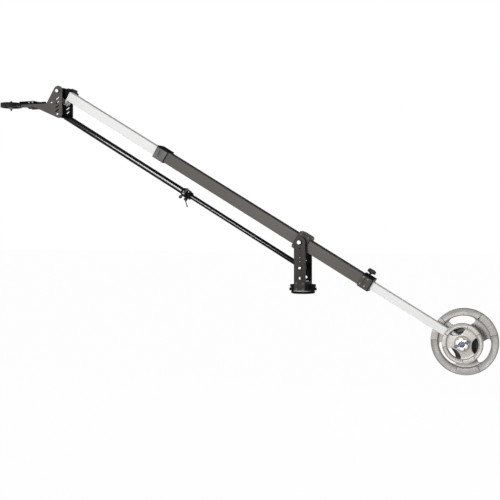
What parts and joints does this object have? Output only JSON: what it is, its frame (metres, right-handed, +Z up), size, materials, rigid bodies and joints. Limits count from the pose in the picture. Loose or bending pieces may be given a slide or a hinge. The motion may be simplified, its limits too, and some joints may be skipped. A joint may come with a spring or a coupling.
{
  "type": "camera jib crane",
  "caption": "Telescoping counterweighted jib arm on a panning post, with a parallel rod that keeps its round camera platform level as the arm swings up and down.",
  "frame": {"origin": "mouth of the tripod thread, at the centre of the underside of the base plate", "axes": "+Z up along the pan axis, -X towards the camera platform, +X towards the weights, -Y the near side with the small weight"},
  "size_m": [2.1097, 0.1464, 1.1386],
  "materials": {
    "black_anodised": "satin black anodised",
    "gloss_black": "gloss black",
    "grey_plate": "satin dark grey anodised",
    "grey_tube": "satin grey-brown anodised",
    "silver_tube": "clear anodised",
    "collar_grey": "brushed",
    "clamp_grey": "satin dark grey",
    "shoe_metal": "bare machined",
    "black_steel": "black oxide",
    "steel": "machined",
    "bright_steel": "polished",
    "chrome": "polished",
    "bronze": "oiled bearing bronze",
    "black_plastic": "moulded, matt",
    "nylon": "off-white nylon",
    "grey_iron": "grey hammertone enamel"
  },
  "bodies": {
    "base": {"base_plate": "black_anodised", "pan_bearing": "nylon", "pan_washer": "steel", "pan_bolt": "black_steel"},
    "turntable": {"turntable": "black_anodised", "post_plate_near": "grey_plate", "post_plate_far": "grey_plate", "post_screws": "black_steel", "pivot_bushes": "bronze", "rod_pivot_pin": "bright_steel", "rod_pivot_spacers": "black_anodised"},
    "arm": {"outer_tube": "grey_tube", "saddle_plate_near": "grey_plate", "saddle_plate_far": "grey_plate", "saddle_covers": "black_anodised", "saddle_screws": "black_steel", "trunnions": "steel", "pivot_caps": "bright_steel", "underside_screw": "black_steel", "front_collar": "collar_grey", "front_collar_cap": "black_anodised", "front_bush": "black_plastic", "rear_clamp": "clamp_grey", "rear_clamp_cap": "black_anodised", "rear_bush": "black_plastic", "collar_cap_screws": "black_steel", "rear_clamp_screws": "steel"},
    "rear_clamp_knob": {"rear_clamp_knob": "black_plastic"},
    "front_section": {"front_tube": "silver_tube", "front_tube_plug": "nylon", "head_block": "black_anodised", "head_shoe": "shoe_metal", "head_shoe_screws": "steel"},
    "head": {"head_plate_near": "grey_plate", "head_plate_far": "grey_plate", "head_axle": "bright_steel", "lower_pivot_bolt": "bright_steel", "head_spacers": "black_anodised", "head_tie_bolt": "bright_steel", "head_web": "black_anodised", "head_side_screws": "black_steel", "deck_block": "black_anodised", "deck_screws": "steel", "platform": "black_anodised"},
    "head_lock_knob": {"head_lock_knob": "black_plastic"},
    "camera_screw": {"camera_screw": "steel"},
    "rod_rear": {"rod_inner": "black_anodised", "rod_rear_eye": "black_anodised"},
    "rod_front": {"rod_outer": "gloss_black", "rod_front_eye": "black_anodised", "rod_clamp": "black_anodised"},
    "clamp_wing_knob": {"clamp_wing_knob": "black_plastic"},
    "clamp_lever": {"clamp_lever": "black_plastic"},
    "rear_section": {"rear_tube": "silver_tube", "rear_tube_plug": "nylon", "weight_bar": "bright_steel"},
    "weight_large": {"weight_large": "grey_iron"},
    "weight_small": {"weight_small": "grey_iron"},
    "star_nut_near": {"star_nut_near": "chrome"},
    "star_nut_far": {"star_nut_far": "chrome"}
  },
  "joints": [
    {"name": "pan", "type": "hinge", "parent": "base", "child": "turntable", "pos_m": [0, 0, 0], "axis": [0, 0, 1], "continuous": true},
    {"name": "arm_tilt", "type": "hinge", "parent": "turntable", "child": "arm", "pos_m": [0, 0, 0.197], "axis": [0, 1, 0], "range_deg": [-65, 20]},
    {"name": "rear_clamp_turn", "type": "hinge", "parent": "arm", "child": "rear_clamp_knob", "pos_m": [0.2623, 0, 0.07673], "axis": [0.509, 0, 0.8607], "continuous": true},
    {"name": "front_slide", "type": "slide", "parent": "arm", "child": "front_section", "axis": [0.8607, 0, -0.509], "range_m": [0, 0.42]},
    {"name": "head_tilt", "type": "hinge", "parent": "front_section", "child": "head", "pos_m": [-1.06904, 0, 0.82923], "axis": [0, 1, 0], "range_deg": [-20, 65]},
    {"name": "head_knob_turn", "type": "hinge", "parent": "head", "child": "head_lock_knob", "pos_m": [-1.06904, 0, 0.82923], "axis": [0, 1, 0], "continuous": true},
    {"name": "camera_screw_turn", "type": "hinge", "parent": "head", "child": "camera_screw", "pos_m": [-1.33404, 0, 0.77423], "axis": [0, 0, 1], "continuous": true},
    {"name": "rod_tilt", "type": "hinge", "parent": "turntable", "child": "rod_rear", "pos_m": [0, 0, 0.099], "axis": [0, 1, 0], "range_deg": [-65, 20]},
    {"name": "rod_slide", "type": "slide", "parent": "rod_rear", "child": "rod_front", "axis": [0.8607, 0, -0.509], "range_m": [0, 0.42]},
    {"name": "wing_knob_turn", "type": "hinge", "parent": "rod_front", "child": "clamp_wing_knob", "pos_m": [-0.49234, 0, 0.39017], "axis": [0, 1, 0], "continuous": true},
    {"name": "lever_swing", "type": "hinge", "parent": "rod_front", "child": "clamp_lever", "pos_m": [-0.49787, 0, 0.36707], "axis": [0, 1, 0], "range_deg": [0, 100]},
    {"name": "rear_slide", "type": "slide", "parent": "arm", "child": "rear_section", "axis": [-0.8607, 0, 0.509], "range_m": [0, 0.25]},
    {"name": "weight_large_turn", "type": "hinge", "parent": "rear_section", "child": "weight_large", "pos_m": [0.60768, 0, -0.16238], "axis": [0, 1, 0], "continuous": true},
    {"name": "weight_small_turn", "type": "hinge", "parent": "rear_section", "child": "weight_small", "pos_m": [0.60768, 0, -0.16238], "axis": [0, 1, 0], "continuous": true},
    {"name": "star_nut_near_turn", "type": "hinge", "parent": "rear_section", "child": "star_nut_near", "pos_m": [0.60768, 0, -0.16238], "axis": [0, 1, 0], "continuous": true},
    {"name": "star_nut_far_turn", "type": "hinge", "parent": "rear_section", "child": "star_nut_far", "pos_m": [0.60768, 0, -0.16238], "axis": [0, 1, 0], "continuous": true}
  ],
  "couplings": [
    {"joint": "head_tilt", "follows": "arm_tilt", "ratio": -1},
    {"joint": "rod_tilt", "follows": "arm_tilt", "ratio": 1},
    {"joint": "rod_slide", "follows": "front_slide", "ratio": 1}
  ]
}
